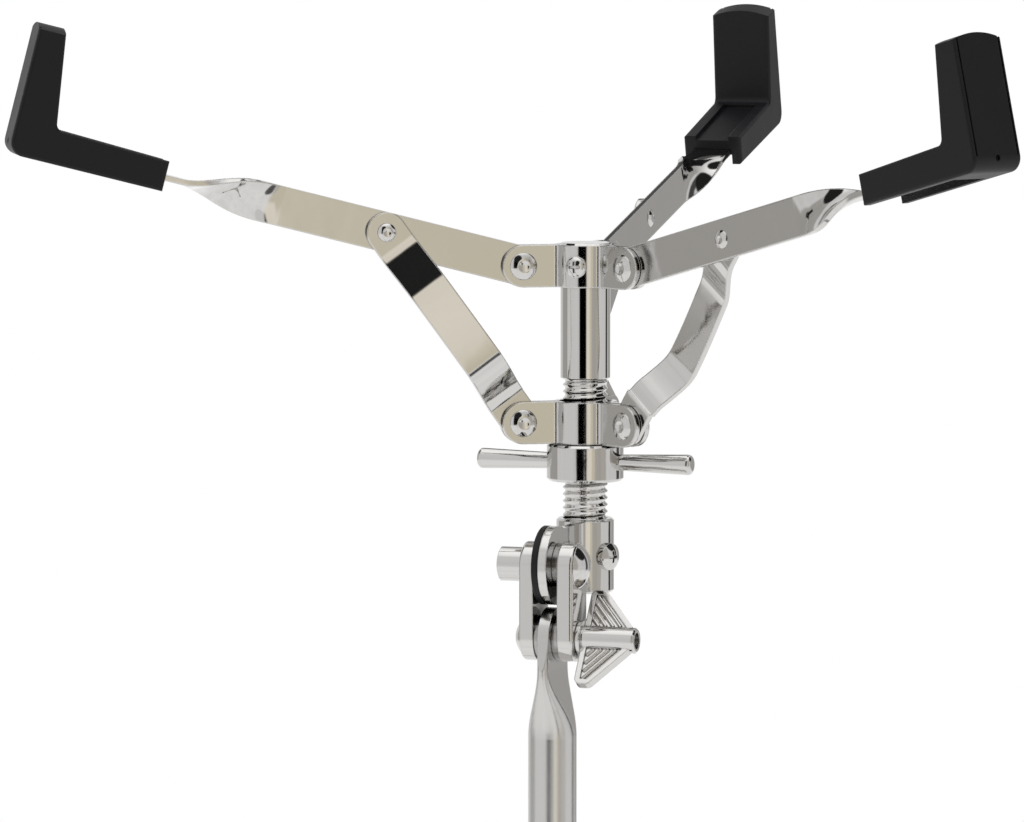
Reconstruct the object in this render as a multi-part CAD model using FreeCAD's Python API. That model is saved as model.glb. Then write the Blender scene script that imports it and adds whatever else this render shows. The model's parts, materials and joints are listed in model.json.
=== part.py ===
import FreeCAD, Part
import math
import os

os.makedirs("parts", exist_ok=True)

V = FreeCAD.Vector
ORIGIN = V(0, 0, 0)
X_AXIS = V(1, 0, 0)
Y_AXIS = V(0, 1, 0)
Z_AXIS = V(0, 0, 1)
TURN = 360.0
RIGHT_ANGLE = TURN / 4

# Fits and clearances shared by every pair of pieces, and the overrun of cuts
PIN_CLEAR = 0.05
SLIDE_CLEAR = 0.06
SIDE_CLEAR = 0.2
CHANNEL_CLEAR = 0.3
OPEN_PIVOT_CLEAR = 2.1
SEAT_GAP = 0.1
CUT_OVER = 1.0

# Basket linkage, seen in the plane of one arm
ARM_COUNT = 3
ARM_STEP = TURN / ARM_COUNT
FIRST_ARM_AZ = 90.0
HINGE_R = 23.5
LINK_DROP = 57.0
ARM_TO_BRACE = 51.8
ARM_RISE = 14.4

# Straps of the basket
STRAP_W = 14.5
ARM_T = 2.2
BRACE_T = 2.0
TWIST_START = 91.0
TWIST_LEN = 39.0
TWIST_SECTIONS = 11
CORE_BEND_R = 6.0
CORE_COVER = 5.3
CORE_BELOW_TOP = 9.0
BRACE_TOP_FLAT = 6.0
BRACE_BEND_LEN = 20.0
BRACE_STEP_OUT = 5.6
BRACE_LEAN_OUT = 3.6
BRACE_RETURN_LEN = 21.0
BRACE_FOOT_FLAT = 7.5
BOW_SAMPLES = 25

# Stamped hubs: three bent plates round the rod, their ears in pairs
HUB_H = 15.3
HUB_IN_R = 9.4
PLATE_T = 2.0
EAR_GAP = ARM_T + 2 * SIDE_CLEAR
CREASE_R = 1.6
RIVET_R = 2.5
RIVET_DISH = 0.5
RIVET_DISH_DEPTH = 0.4
HUB_HEAD_R = 5.0
HUB_HEAD_H = 1.5
ARM_HEAD_R = 3.4
ARM_HEAD_H = 1.3
HUB_SCREW_R = 2.0
HUB_SCREW_HEAD_R = 4.1
HUB_SCREW_HEAD_H = 2.0
HUB_SCREW_DEPTH = 4.0
CROSS_LEN = 4.2
CROSS_W = 1.0
CROSS_D = 1.1

# Rubber tips, in the plane of one arm measured from the arm hinge
TIP_W = 22.8
TIP_PAST_TWIST = 5.6
SEAT_LEN = 42.0
UPRIGHT_FOOT_T = 14.7
UPRIGHT_TOP_T = 9.9
TIP_BOTTOM = -4.9
SEAT_START_Z = 6.1
SEAT_END_Z = 7.4
UPRIGHT_TOP_Z = 40.6
TIP_ARCH = 2.2
TIP_CORNER_R = 5.0
TIP_INNER_R = 2.5
TIP_EDGE_R = 1.2
SEAT_GROOVE_W = 13.0
SEAT_GROOVE_D = 1.6
SEAT_GROOVE_END = 3.0
TIP_SLOT_SIDE = 0.35
TIP_SLOT_END = 10.0
DIMPLE_R = 1.1
DIMPLE_D = 1.2
DIMPLE_Z = -0.6
SEAM_IN = 1.6
SEAM_W = 0.7
SEAM_D = 0.9

# Threaded rod and the plain sleeve above the thread
ROD_OFFSET = 37.0
THREAD_R = 8.2
THREAD_PITCH = 2.5
THREAD_DEPTH = 0.9
THREAD_LAND = 0.3
SLEEVE_R = 9.05
SLEEVE_END = 41.2
ROD_TOP_OVER = 0.6
ROD_CHAMFER = 0.8
ROD_BORE_R = 5.0

# Basket nut with its two tapered handles
NUT_R = 14.0
NUT_H = 13.5
NUT_CHAMFER = 0.9
HANDLE_REACH = 41.0
HANDLE_ROOT_R = 2.9
HANDLE_TIP_R = 3.8
HANDLE_SOCKET = 11.0
HANDLE_END_R = 1.8

# Socket under the rod and its ear on the tilter
SOCKET_R = 10.5
SOCKET_H = 27.0
SOCKET_FLOOR = 3.0
SOCKET_BELOW_HUB = 105.6
SOCKET_CHAMFER = 0.8
EAR_R = 14.2
EAR_T = 3.1
EAR_SHIFT = 0.65
WEB_FILLET = 2.5
SET_SCREW_AZ = -22.0
SET_SCREW_R = 2.5
SET_SCREW_HEAD_R = 4.9
SET_SCREW_HEAD_H = 3.2

# Tilter cheeks, bolts and washers
BOLT_SPACING = 26.0
CHEEK_R = 8.5
CHEEK_LEFT_IN = 4.6
CHEEK_RIGHT_IN = 4.5
CHEEK_LEFT_T = 5.5
CHEEK_RIGHT_T = 5.8
CHEEK_EDGE_R = 1.2
BOLT_R = 3.0
WASHER_R = 8.0
DISC_T = 2.5
DISC_EDGE = 0.3
PIVOT_HEAD_R = 8.0
PIVOT_HEAD_H = 3.8
PIVOT_NUT_R = 6.2
PIVOT_NUT_H = 10.5
NUT_DOME_H = 1.6
CLAMP_HEAD_R = 7.0
CLAMP_HEAD_H = 3.4

# Wing nut and wing screws
WING_BARREL_R = 4.65
WING_LEN = 21.5
WING_REACH = 19.0
WING_T = 3.6
WING_WEB_T = 1.8
WING_RIM = 2.0
WING_FLANGE_R = 6.4
WING_FLANGE_H = 1.6
WING_CORNER_R = 2.2
WING_SHOULDER = 7.0
WING_BARREL_CHAMFER = 0.65
WING_NUT_TURN = -35.0
WING_RIBS = 4
WING_RIB_R = 0.6
WING_RIB_STEP = 2.1
SCREW_R = 3.0
SCREW_TIP_GAP = 0.5

# Upper tube, pressed flat at the tilter
UPPER_TUBE_R = 8.75
TUBE_WALL = 1.5
FLAT_T = 4.2
FLAT_END_R = 10.8
FLAT_BELOW_BOLT = 11.0
FLATTEN_LEN = 25.0
FLATTEN_SECTIONS = 6
ROUND_SEED = 0.05
TUBE_INSERT = 130.0
TUBE_SHOWN = 80.0

# Base tube, height clamp and bush
BASE_TUBE_R = 11.1
CLAMP_R = 16.5
CLAMP_H = 30.0
CLAMP_GRIP = 14.0
CLAMP_EDGE_R = 2.0
BOSS_R = 6.5
BOSS_REACH = 24.0
BUSH_WALL_GAP = 0.5
BUSH_FLANGE_R = 13.6
BUSH_FLANGE_H = 2.5
CLAMP_SCREW_AZ = 330.0
COLLAR_SCREW_AZ = 210.0

# Tripod
LEG_COUNT = 3
LEG_STEP = TURN / LEG_COUNT
FIRST_LEG_AZ = 270.0
LEG_SPREAD = 60.0
LEG_FOLDED = 5.0
LEG_HINGE_R = 24.0
LINK_LEN = 104.0
LEG_W = 12.0
LEG_WALL = 1.5
LEG_UP = 8.5
LEG_DOWN = 5.5
LEG_END_R = 6.0
STRUT_UP = 5.0
STRUT_DOWN = 6.5
STRUT_END_R = 5.5
LEG_HEAD_R = 4.2
LEG_HEAD_H = 1.8
FOOT_AXIS_Z = 8.0
BOOT_LEN = 32.0
BOOT_WALL = 2.5
BOOT_END = 3.0
BOOT_SOLE = 7.0
BOOT_EDGE_R = 2.2
COLLAR_R = 15.6
COLLAR_H = 16.0
LOW_COLLAR_H = 13.0
COLLAR_EDGE_R = 1.0
CLAMP_ABOVE_COLLAR = 8.0
TUBE_BELOW_COLLAR = 4.0
CAP_T = 3.0
CAP_PLUG = 10.0
PIN_R = 2.0
PIN_HEAD_R = 3.6
PIN_HEAD_H = 1.6


def moved(shape, base=ORIGIN, rotation=None):
    out = shape.copy()
    turn = rotation or FreeCAD.Rotation()
    out.Placement = FreeCAD.Placement(base, turn).multiply(out.Placement)
    return out


def about(axis, degrees):
    return FreeCAD.Rotation(axis, degrees)


def to_axis(shape, base, axis):
    return moved(shape, base, FreeCAD.Rotation(Z_AXIS, axis))


def block(x0, x1, y0, y1, z0, z1):
    return Part.makeBox(x1 - x0, y1 - y0, z1 - z0, V(x0, y0, z0))


def rod_between(base, axis, radius, length):
    return Part.makeCylinder(radius, length, base, axis)


def prism(points, direction):
    wire = Part.makePolygon(points + points[:1])
    return Part.Face(wire).extrude(direction)


def turned(profile):
    points = [V(r, 0, z) for r, z in profile]
    face = Part.Face(Part.makePolygon(points + points[:1]))
    return face.revolve(ORIGIN, Z_AXIS, TURN)


def dome(radius, height):
    lean = math.sqrt(0.5)
    ball = (radius ** 2 + height ** 2) / (2 * height)
    half = math.asin(min(1.0, radius / ball)) * lean
    middle = V(ball * math.sin(half), 0, height - ball * (1 - math.cos(half)))
    arc = Part.Arc(V(radius, 0, 0), middle, V(0, 0, height)).toShape()
    low = Part.makeLine(ORIGIN, V(radius, 0, 0))
    side = Part.makeLine(V(0, 0, height), ORIGIN)
    face = Part.Face(Part.Wire([low, arc, side]))
    return face.revolve(ORIGIN, Z_AXIS, TURN)


def chamfered(radius, height, cut):
    profile = [(0, 0), (radius - cut, 0), (radius, cut)]
    profile += [(radius, height - cut), (radius - cut, height), (0, height)]
    return turned(profile)


def one(shape):
    return shape.removeSplitter()


def rivet_head(radius, height):
    """Low dome, dished in the middle by the rivet set."""
    dish_r = radius * RIVET_DISH
    depth = height * RIVET_DISH_DEPTH
    ball = (dish_r ** 2 + depth ** 2) / (2 * depth)
    return dome(radius, height).cut(Part.makeSphere(ball, V(0, 0, height - depth + ball)))


def rivet(radius, grip_low, grip_high, head_r, head_h):
    """Rivet along Y with a head on each side of its grip."""
    shank = rod_between(V(0, grip_low, 0), Y_AXIS, radius, grip_high - grip_low)
    high = to_axis(rivet_head(head_r, head_h), V(0, grip_high, 0), Y_AXIS)
    low = to_axis(rivet_head(head_r, head_h), V(0, grip_low, 0), -Y_AXIS)
    return one(shank.fuse([high, low]))


def pin_hole(x, z, radius, reach):
    return rod_between(V(x, -reach, z), Y_AXIS, radius, 2 * reach)


def save(name, shapes):
    pieces = shapes if isinstance(shapes, list) else [shapes]
    shape = pieces[0] if len(pieces) == 1 else Part.makeCompound(pieces)
    shape.exportStep("parts/" + name + ".step")


# Derived positions
rise = math.radians(ARM_RISE)
TWIST_END = TWIST_START + TWIST_LEN
TIP_X0 = TWIST_END + TIP_PAST_TWIST
SEAT_END_X = TIP_X0 + SEAT_LEN
TIP_X1 = SEAT_END_X + UPRIGHT_FOOT_T
UPRIGHT_TOP_X = TIP_X1 - UPRIGHT_TOP_T
CORE_X = TIP_X1 - CORE_COVER
CORE_TOP = UPRIGHT_TOP_Z - CORE_BELOW_TOP
brace_top = V(HINGE_R + ARM_TO_BRACE * math.cos(rise), 0, ARM_TO_BRACE * math.sin(rise))
brace_foot = V(HINGE_R, 0, -LINK_DROP)
BRACE_LEN = (brace_foot - brace_top).Length
brace_pitch = math.degrees(math.atan2(brace_top.z - brace_foot.z, brace_foot.x - brace_top.x))
HUB_OUT_R = HUB_IN_R + PLATE_T
EAR_OUT = EAR_GAP / 2 + PLATE_T
BRACE_SIDE = ARM_T / 2 + SIDE_CLEAR + BRACE_T / 2

spread = math.radians(LEG_SPREAD)
corner_x = TIP_X1 - TIP_CORNER_R
corner_z = TIP_BOTTOM + TIP_CORNER_R
tip_reach = HINGE_R + corner_x * math.cos(rise) - corner_z * math.sin(rise) + TIP_CORNER_R
BASKET_REACH = ROD_OFFSET + tip_reach
boot_x = BOOT_END - BOOT_EDGE_R
boot_z = LEG_UP + BOOT_WALL - BOOT_EDGE_R
boot_out = boot_x * math.sin(spread) + boot_z * math.cos(spread) + BOOT_EDGE_R
LEG_LEN = (BASKET_REACH - boot_out - LEG_HINGE_R) / math.sin(spread)
LEG_HINGE_Z = FOOT_AXIS_Z + LEG_LEN * math.cos(spread)
STRUT_HINGE_Z = LEG_HINGE_Z - 2 * LINK_LEN * math.cos(spread)
collar_top = STRUT_HINGE_Z + 2 * LINK_LEN * math.cos(math.radians(LEG_FOLDED)) + COLLAR_H / 2
CLAMP_Z0 = collar_top + CLAMP_ABOVE_COLLAR
CLAMP_Z1 = CLAMP_Z0 + CLAMP_H
BASE_TUBE_TOP = CLAMP_Z0 + CLAMP_GRIP
BASE_TUBE_Z0 = STRUT_HINGE_Z - LOW_COLLAR_H / 2 - TUBE_BELOW_COLLAR
LOW_BOLT_Z = CLAMP_Z1 + TUBE_SHOWN
TOP_BOLT_Z = LOW_BOLT_Z + BOLT_SPACING
HUB_Z = TOP_BOLT_Z + SOCKET_BELOW_HUB
ROD_AXIS = V(0, ROD_OFFSET, HUB_Z)
NUT_TOP = -LINK_DROP - HUB_H / 2 - SIDE_CLEAR
STRUT_W = LEG_W - 2 * LEG_WALL - 2 * CHANNEL_CLEAR
COLLAR_LUG_T = STRUT_W
LOW_LUG_T = STRUT_W - 2 * LEG_WALL - 2 * CHANNEL_CLEAR
BUSH_R = BASE_TUBE_R + BUSH_WALL_GAP


def on_basket(shape, azimuth):
    return moved(shape, ROD_AXIS, about(Z_AXIS, azimuth))


def on_arm(shape):
    return moved(shape, V(HINGE_R, 0, 0), about(Y_AXIS, -ARM_RISE))


def on_brace(shape):
    return moved(shape, brace_top, about(Y_AXIS, brace_pitch))


# Basket arms
def strap_section(x, degrees):
    half_t = ARM_T / 2
    half_w = STRAP_W / 2
    corners = [(-half_t, -half_w), (half_t, -half_w), (half_t, half_w), (-half_t, half_w)]
    spin = about(X_AXIS, degrees)
    points = [spin.multVec(V(0, y, z)) + V(x, 0, 0) for y, z in corners]
    return Part.makePolygon(points + points[:1])


def arm_core():
    """Flat end of the strap, bent upright inside the rubber."""
    low = -ARM_T / 2
    high = ARM_T / 2
    out = CORE_X + ARM_T / 2
    inner = CORE_X - ARM_T / 2
    r_in = CORE_BEND_R - ARM_T / 2
    r_out = CORE_BEND_R + ARM_T / 2
    centre_x = CORE_X - CORE_BEND_R
    centre_z = CORE_BEND_R
    lean = math.sqrt(0.5)
    side = -STRAP_W / 2

    def at(x, z):
        return V(x, side, z)

    edges = [Part.makeLine(at(TWIST_END, low), at(centre_x, low))]
    mid_out = at(centre_x + r_out * lean, centre_z - r_out * lean)
    edges.append(Part.Arc(at(centre_x, low), mid_out, at(out, centre_z)).toShape())
    edges.append(Part.makeLine(at(out, centre_z), at(out, CORE_TOP)))
    edges.append(Part.makeLine(at(out, CORE_TOP), at(inner, CORE_TOP)))
    edges.append(Part.makeLine(at(inner, CORE_TOP), at(inner, centre_z)))
    mid_in = at(centre_x + r_in * lean, centre_z - r_in * lean)
    edges.append(Part.Arc(at(inner, centre_z), mid_in, at(centre_x, high)).toShape())
    edges.append(Part.makeLine(at(centre_x, high), at(TWIST_END, high)))
    edges.append(Part.makeLine(at(TWIST_END, high), at(TWIST_END, low)))
    return Part.Face(Part.Wire(edges)).extrude(V(0, STRAP_W, 0))


def arm_strap():
    half_t = ARM_T / 2
    half_w = STRAP_W / 2
    straight = block(0, TWIST_START, -half_t, half_t, -half_w, half_w)
    end = rod_between(V(0, -half_t, 0), Y_AXIS, half_w, ARM_T)
    sections = []
    for i in range(TWIST_SECTIONS):
        part = i / (TWIST_SECTIONS - 1)
        x = TWIST_START + part * (TWIST_END - TWIST_START)
        sections.append(strap_section(x, -smooth(part) * RIGHT_ANGLE))
    twist = Part.makeLoft(sections, True, False)
    strap = straight.fuse([end, twist, arm_core()])
    strap = strap.cut(pin_hole(0, 0, RIVET_R + PIN_CLEAR, STRAP_W))
    strap = strap.cut(pin_hole(ARM_TO_BRACE, 0, RIVET_R, STRAP_W))
    return one(strap)


def tip_boot(strap):
    side = -TIP_W / 2
    top = UPRIGHT_TOP_Z + TIP_ARCH
    lean = (UPRIGHT_TOP_X - SEAT_END_X) / (UPRIGHT_TOP_Z - SEAT_END_Z)
    top_x = UPRIGHT_TOP_X + lean * TIP_ARCH
    outline = [(TIP_X0, TIP_BOTTOM), (TIP_X1, TIP_BOTTOM), (TIP_X1, top), (top_x, top)]
    outline += [(SEAT_END_X, SEAT_END_Z), (TIP_X0, SEAT_START_Z)]
    body = prism([V(x, side, z) for x, z in outline], V(0, TIP_W, 0))
    body = round_across(body, TIP_X1, TIP_BOTTOM, TIP_CORNER_R)
    body = round_across(body, SEAT_END_X, SEAT_END_Z, TIP_INNER_R)
    rims = [e for e in body.Edges if abs(abs(e.CenterOfMass.y) - TIP_W / 2) < PIN_CLEAR]
    body = body.makeFillet(TIP_EDGE_R, rims)
    half = TIP_W / 2
    arch_r = (half ** 2 + TIP_ARCH ** 2) / (2 * TIP_ARCH)
    arch = rod_between(V(TIP_X0, 0, top - arch_r), X_AXIS, arch_r, TIP_X1 - TIP_X0)
    below = block(TIP_X0, TIP_X1, -half, half, TIP_BOTTOM, UPRIGHT_TOP_Z - TIP_ARCH)
    body = body.common(arch.fuse(below))
    slot_half = STRAP_W / 2 + TIP_SLOT_SIDE
    slot_end = TIP_X1 - TIP_CORNER_R - TIP_SLOT_END
    under = TIP_BOTTOM - CUT_OVER
    body = body.cut(block(TIP_X0 - CUT_OVER, slot_end, -slot_half, slot_half, under, -ARM_T / 2))
    slope = math.degrees(math.atan2(SEAT_END_Z - SEAT_START_Z, SEAT_END_X - TIP_X0))
    length = SEAT_END_X - TIP_X0 - SEAT_GROOVE_END
    half_g = SEAT_GROOVE_W / 2
    groove = block(-CUT_OVER, length, -half_g, half_g, -SEAT_GROOVE_D, SEAT_GROOVE_D)
    groove = moved(groove, V(TIP_X0, 0, SEAT_START_Z), about(Y_AXIS, -slope))
    body = body.cut(groove)
    for side in (1, -1):
        y0 = side * (half - SEAM_IN) - SEAM_W / 2
        x0 = TIP_X1 - SEAM_D
        body = body.cut(block(x0, TIP_X1 + CUT_OVER, y0, y0 + SEAM_W, corner_z, top + CUT_OVER))
    body = body.cut(rod_between(V(TIP_X1 - DIMPLE_D, 0, DIMPLE_Z), X_AXIS, DIMPLE_R, 2 * DIMPLE_D))
    return body.cut(strap)


def round_across(body, x, z, radius):
    near = PIN_CLEAR
    picks = []
    for edge in body.Edges:
        middle = edge.CenterOfMass
        if abs(middle.x - x) < near and abs(middle.z - z) < near:
            picks.append(edge)
    return body.makeFillet(radius, picks)


def arm_rivet():
    grip_high = ARM_T / 2 + 2 * SIDE_CLEAR + BRACE_T
    shape = rivet(RIVET_R, -ARM_T / 2, grip_high, ARM_HEAD_R, ARM_HEAD_H)
    return moved(shape, V(ARM_TO_BRACE, 0, 0))


# Bowed braces
def smooth(t):
    u = min(1.0, max(0.0, t))
    return u * u * (3 - 2 * u)


def bow(x):
    turn_in = BRACE_LEN - BRACE_FOOT_FLAT - BRACE_RETURN_LEN
    step_out = BRACE_STEP_OUT * smooth((x - BRACE_TOP_FLAT) / BRACE_BEND_LEN)
    lean_out = BRACE_LEAN_OUT * smooth((x - BRACE_TOP_FLAT) / (turn_in - BRACE_TOP_FLAT))
    return (BRACE_SIDE + step_out + lean_out) * (1 - smooth((x - turn_in) / BRACE_RETURN_LEN))


def brace_strap():
    half_w = STRAP_W / 2
    step = PIN_CLEAR
    upper = []
    lower = []
    first = BRACE_TOP_FLAT
    last = BRACE_LEN - BRACE_FOOT_FLAT
    for i in range(BOW_SAMPLES):
        x = first + (last - first) * i / (BOW_SAMPLES - 1)
        slope = (bow(x + step) - bow(x - step)) / (2 * step)
        if i in (0, BOW_SAMPLES - 1):
            slope = 0.0
        normal = V(-slope, 1, 0).normalize()
        middle = V(x, bow(x), -half_w)
        upper.append(middle + normal * (BRACE_T / 2))
        lower.append(middle - normal * (BRACE_T / 2))
    curves = []
    for points in (upper, lower):
        curve = Part.BSplineCurve()
        curve.interpolate(points, InitialTangent=X_AXIS, FinalTangent=X_AXIS)
        curves.append(curve.toShape())
    start_low = V(-half_w, lower[0].y, -half_w)
    start_high = V(-half_w, upper[0].y, -half_w)
    end_low = V(BRACE_LEN + half_w, lower[-1].y, -half_w)
    end_high = V(BRACE_LEN + half_w, upper[-1].y, -half_w)
    edges = [Part.makeLine(start_low, lower[0]), curves[1], Part.makeLine(lower[-1], end_low)]
    edges += [Part.makeLine(end_low, end_high), Part.makeLine(end_high, upper[-1]), curves[0]]
    edges += [Part.makeLine(upper[0], start_high), Part.makeLine(start_high, start_low)]
    wire = Part.Wire(Part.__sortEdges__(edges))
    band = Part.Face(wire).extrude(V(0, 0, STRAP_W))
    reach = BRACE_STEP_OUT + BRACE_LEAN_OUT + STRAP_W
    outline = block(0, BRACE_LEN, -reach, reach, -half_w, half_w)
    ends = [pin_hole(0, 0, half_w, reach), pin_hole(BRACE_LEN, 0, half_w, reach)]
    strap = band.common(one(outline.fuse(ends)))
    strap = strap.cut(pin_hole(0, 0, RIVET_R + PIN_CLEAR, reach))
    return strap.cut(pin_hole(BRACE_LEN, 0, RIVET_R + OPEN_PIVOT_CLEAR, reach))


# Hub plates
def hub_ear(side):
    low = EAR_GAP / 2 if side > 0 else -EAR_OUT
    flat = block(0, HINGE_R, low, low + PLATE_T, -HUB_H / 2, HUB_H / 2)
    end = rod_between(V(HINGE_R, low, 0), Y_AXIS, HUB_H / 2, PLATE_T)
    return flat.fuse(end)


def hub_plate(with_screw):
    """One bent plate from the arm at azimuth zero to the next arm."""
    half_gap = EAR_GAP / 2
    bisector = math.radians(ARM_STEP / 2)
    start = half_gap / math.sin(bisector)
    reach = 2 * HINGE_R
    apex = V(start * math.cos(bisector), start * math.sin(bisector), -HUB_H / 2)
    step = math.radians(ARM_STEP)
    ray_a = V(reach, 0, 0)
    ray_b = V(reach * math.cos(step), reach * math.sin(step), 0)
    ray_m = V(reach * math.cos(bisector), reach * math.sin(bisector), 0)
    wedge = prism([apex, apex + ray_a, apex + ray_m * 2, apex + ray_b], V(0, 0, HUB_H))
    low = V(0, 0, -HUB_H / 2)
    ring = rod_between(low, Z_AXIS, HUB_OUT_R, HUB_H).common(wedge)
    ear_b = moved(hub_ear(-1), ORIGIN, about(Z_AXIS, ARM_STEP))
    plate = ring.fuse([hub_ear(1), ear_b])
    plate = one(plate.cut(rod_between(low, Z_AXIS, HUB_IN_R, HUB_H)))
    crease = math.sqrt(HUB_OUT_R ** 2 - EAR_OUT ** 2)
    spots = [V(crease, EAR_OUT, 0)]
    spots.append(about(Z_AXIS, ARM_STEP).multVec(V(crease, -EAR_OUT, 0)))
    picks = []
    for edge in plate.Edges:
        for spot in spots:
            if (edge.CenterOfMass - spot).Length < PIN_CLEAR:
                picks.append(edge)
    plate = plate.makeFillet(CREASE_R, picks)
    plate = plate.cut(pin_hole(HINGE_R, 0, RIVET_R, 2 * EAR_OUT))
    hole_b = moved(pin_hole(HINGE_R, 0, RIVET_R, 2 * EAR_OUT), ORIGIN, about(Z_AXIS, ARM_STEP))
    plate = plate.cut(hole_b)
    if with_screw:
        plate = plate.cut(hub_screw_hole())
    return plate


def hub_screw_hole():
    axis = V(math.cos(math.radians(ARM_STEP / 2)), math.sin(math.radians(ARM_STEP / 2)), 0)
    return rod_between(ORIGIN, axis, HUB_SCREW_R, 2 * HUB_OUT_R)


def hub_screw():
    start = HUB_OUT_R - HUB_SCREW_DEPTH
    shank = rod_between(V(start, 0, 0), X_AXIS, HUB_SCREW_R, HUB_SCREW_DEPTH + HUB_SCREW_HEAD_H / 2)
    head = to_axis(dome(HUB_SCREW_HEAD_R, HUB_SCREW_HEAD_H), V(HUB_OUT_R, 0, 0), X_AXIS)
    flat = rod_between(V(HUB_OUT_R, 0, 0), X_AXIS, HUB_SCREW_HEAD_R, HUB_SCREW_HEAD_H / 4)
    head = head.fuse(flat).cut(rod_between(V(0, 0, -HUB_H), Z_AXIS, HUB_OUT_R, 2 * HUB_H))
    collar = rod_between(V(HUB_OUT_R - PLATE_T / 2, 0, 0), X_AXIS, HUB_SCREW_HEAD_R, PLATE_T / 2)
    collar = collar.cut(rod_between(V(0, 0, -HUB_H), Z_AXIS, HUB_OUT_R, 2 * HUB_H))
    screw = one(shank.fuse([head, collar])).cut(cross_slot(HUB_OUT_R + HUB_SCREW_HEAD_H))
    return moved(screw, ORIGIN, about(Z_AXIS, ARM_STEP / 2))


def cross_slot(mouth):
    """Cross recess in a screw head that faces along X."""
    half = CROSS_LEN / 2
    thin = CROSS_W / 2
    flat = block(mouth - CROSS_D, mouth + CUT_OVER, -half, half, -thin, thin)
    tall = block(mouth - CROSS_D, mouth + CUT_OVER, -thin, thin, -half, half)
    return one(flat.fuse(tall))


# Rod
def thread_profile(low, high):
    """Thread form as ring grooves at the thread's pitch, from low up to high."""
    root = THREAD_R - THREAD_DEPTH
    middle = THREAD_PITCH / 2
    land = THREAD_LAND / 2
    points = []
    for i in range(int((high - low) / THREAD_PITCH)):
        z = low + i * THREAD_PITCH
        points += [(THREAD_R, z + land), (root, z + middle - land)]
        points += [(root, z + middle + land), (THREAD_R, z + THREAD_PITCH - land)]
    return points


def threaded_rod():
    top = HUB_H / 2 + ROD_TOP_OVER
    foot = -SOCKET_BELOW_HUB - SOCKET_H / 2 + SOCKET_FLOOR
    profile = [(0, foot), (THREAD_R - ROD_CHAMFER, foot), (THREAD_R, foot + ROD_CHAMFER)]
    profile += thread_profile(-SOCKET_BELOW_HUB + SOCKET_H / 2, -SLEEVE_END)
    profile += [(THREAD_R, -SLEEVE_END), (SLEEVE_R - ROD_CHAMFER / 2, -SLEEVE_END)]
    profile += [(SLEEVE_R, -SLEEVE_END + ROD_CHAMFER / 2), (SLEEVE_R, -HUB_H / 2)]
    profile += [(HUB_IN_R, -HUB_H / 2), (HUB_IN_R, top - ROD_CHAMFER)]
    profile += [(HUB_IN_R - ROD_CHAMFER, top), (0, top)]
    rod = turned(profile)
    for k in range(ARM_COUNT):
        shank = rod_between(ORIGIN, X_AXIS, HUB_SCREW_R, HUB_OUT_R)
        core = rod_between(V(0, 0, -HUB_H), Z_AXIS, HUB_OUT_R - HUB_SCREW_DEPTH, 2 * HUB_H)
        shank = shank.cut(core)
        shank = moved(shank, ORIGIN, about(Z_AXIS, FIRST_ARM_AZ + k * ARM_STEP + ARM_STEP / 2))
        rod = rod.cut(shank)
    level = V(0, 0, -SOCKET_BELOW_HUB)
    rod = rod.cut(set_screw_shank(level))
    return moved(rod, ROD_AXIS)


def set_screw_shank(level):
    shank = rod_between(V(ROD_BORE_R, 0, 0), X_AXIS, SET_SCREW_R, SOCKET_R)
    return moved(shank, level, about(Z_AXIS, SET_SCREW_AZ))


# Basket nut
def basket_nut():
    nut = chamfered(NUT_R, NUT_H, NUT_CHAMFER)
    nut = nut.cut(rod_between(ORIGIN, Z_AXIS, THREAD_R + PIN_CLEAR, NUT_H))
    for side in (1, -1):
        nut = nut.cut(handle(side))
    return moved(nut, ROD_AXIS + V(0, 0, NUT_TOP - NUT_H))


def handle(side):
    length = HANDLE_REACH - HANDLE_SOCKET
    cone = Part.makeCone(HANDLE_ROOT_R, HANDLE_TIP_R, length)
    rims = [e for e in cone.Edges if abs(e.CenterOfMass.z - length) < PIN_CLEAR]
    cone = cone.makeFillet(HANDLE_END_R, rims)
    axis = V(side, 0, 0)
    return to_axis(cone, V(side * HANDLE_SOCKET, 0, NUT_H / 2), axis)


# Tilter
def obround(x0, thick, z_low, z_high, radius):
    low = rod_between(V(x0, 0, z_low), X_AXIS, radius, thick)
    high = rod_between(V(x0, 0, z_high), X_AXIS, radius, thick)
    middle = block(x0, x0 + thick, -radius, radius, z_low, z_high)
    return one(middle.fuse([low, high]))


def x_hole(z, radius):
    reach = CHEEK_LEFT_IN + CHEEK_RIGHT_IN + WING_LEN
    return rod_between(V(-reach, 0, z), X_AXIS, radius, 2 * reach)


def cheek(x0, thick, face_x):
    plate = obround(x0, thick, LOW_BOLT_Z, TOP_BOLT_Z, CHEEK_R)
    rims = [e for e in plate.Edges if abs(e.CenterOfMass.x - face_x) < PIN_CLEAR]
    plate = plate.makeFillet(CHEEK_EDGE_R, rims)
    return plate.cut([x_hole(LOW_BOLT_Z, BOLT_R), x_hole(TOP_BOLT_Z, BOLT_R)])


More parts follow.
